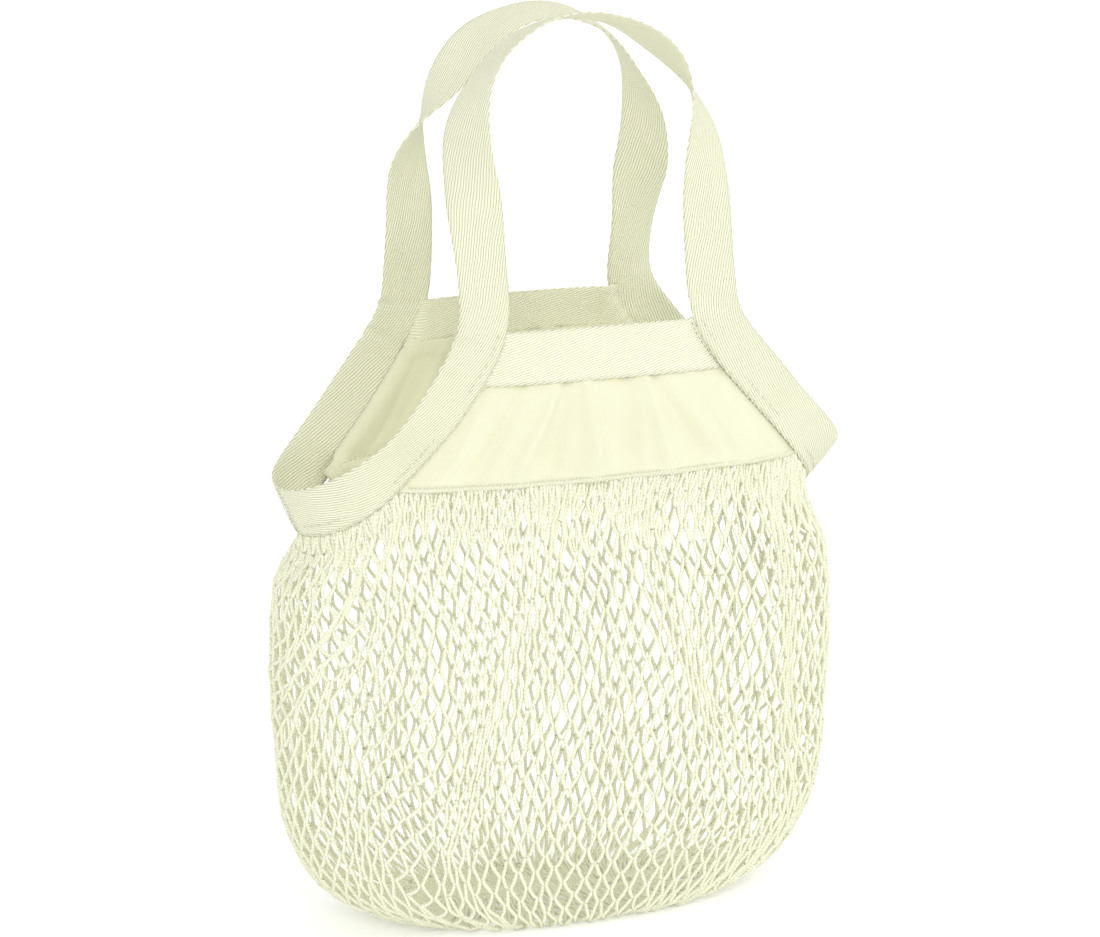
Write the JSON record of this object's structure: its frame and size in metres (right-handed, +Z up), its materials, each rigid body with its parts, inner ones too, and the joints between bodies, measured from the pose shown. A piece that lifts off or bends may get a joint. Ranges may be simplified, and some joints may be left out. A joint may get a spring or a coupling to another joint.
{
  "type": "string shopping bag",
  "caption": "Cotton net shopping bag with cloth yokes and webbing handles, hanging open from its two handles.",
  "frame": {"origin": "hang point: the underside of the two handle tops, midway between them, where a hook or hand holds the bag", "axes": "+Z up, +Y from the front of the bag to its back, +X towards its right side as seen from the front"},
  "size_m": [0.3365, 0.162, 0.5023],
  "materials": {
    "webbing": "matt twill weave",
    "yoke_cotton": "matt plain weave",
    "net_cotton": "matt cord"
  },
  "bodies": {
    "root": {"net_body": "net_cotton", "front_yoke": "yoke_cotton", "back_yoke": "yoke_cotton", "front_rim_band": "webbing", "back_rim_band": "webbing", "front_handle": "webbing", "back_handle": "webbing"}
  },
  "joints": []
}
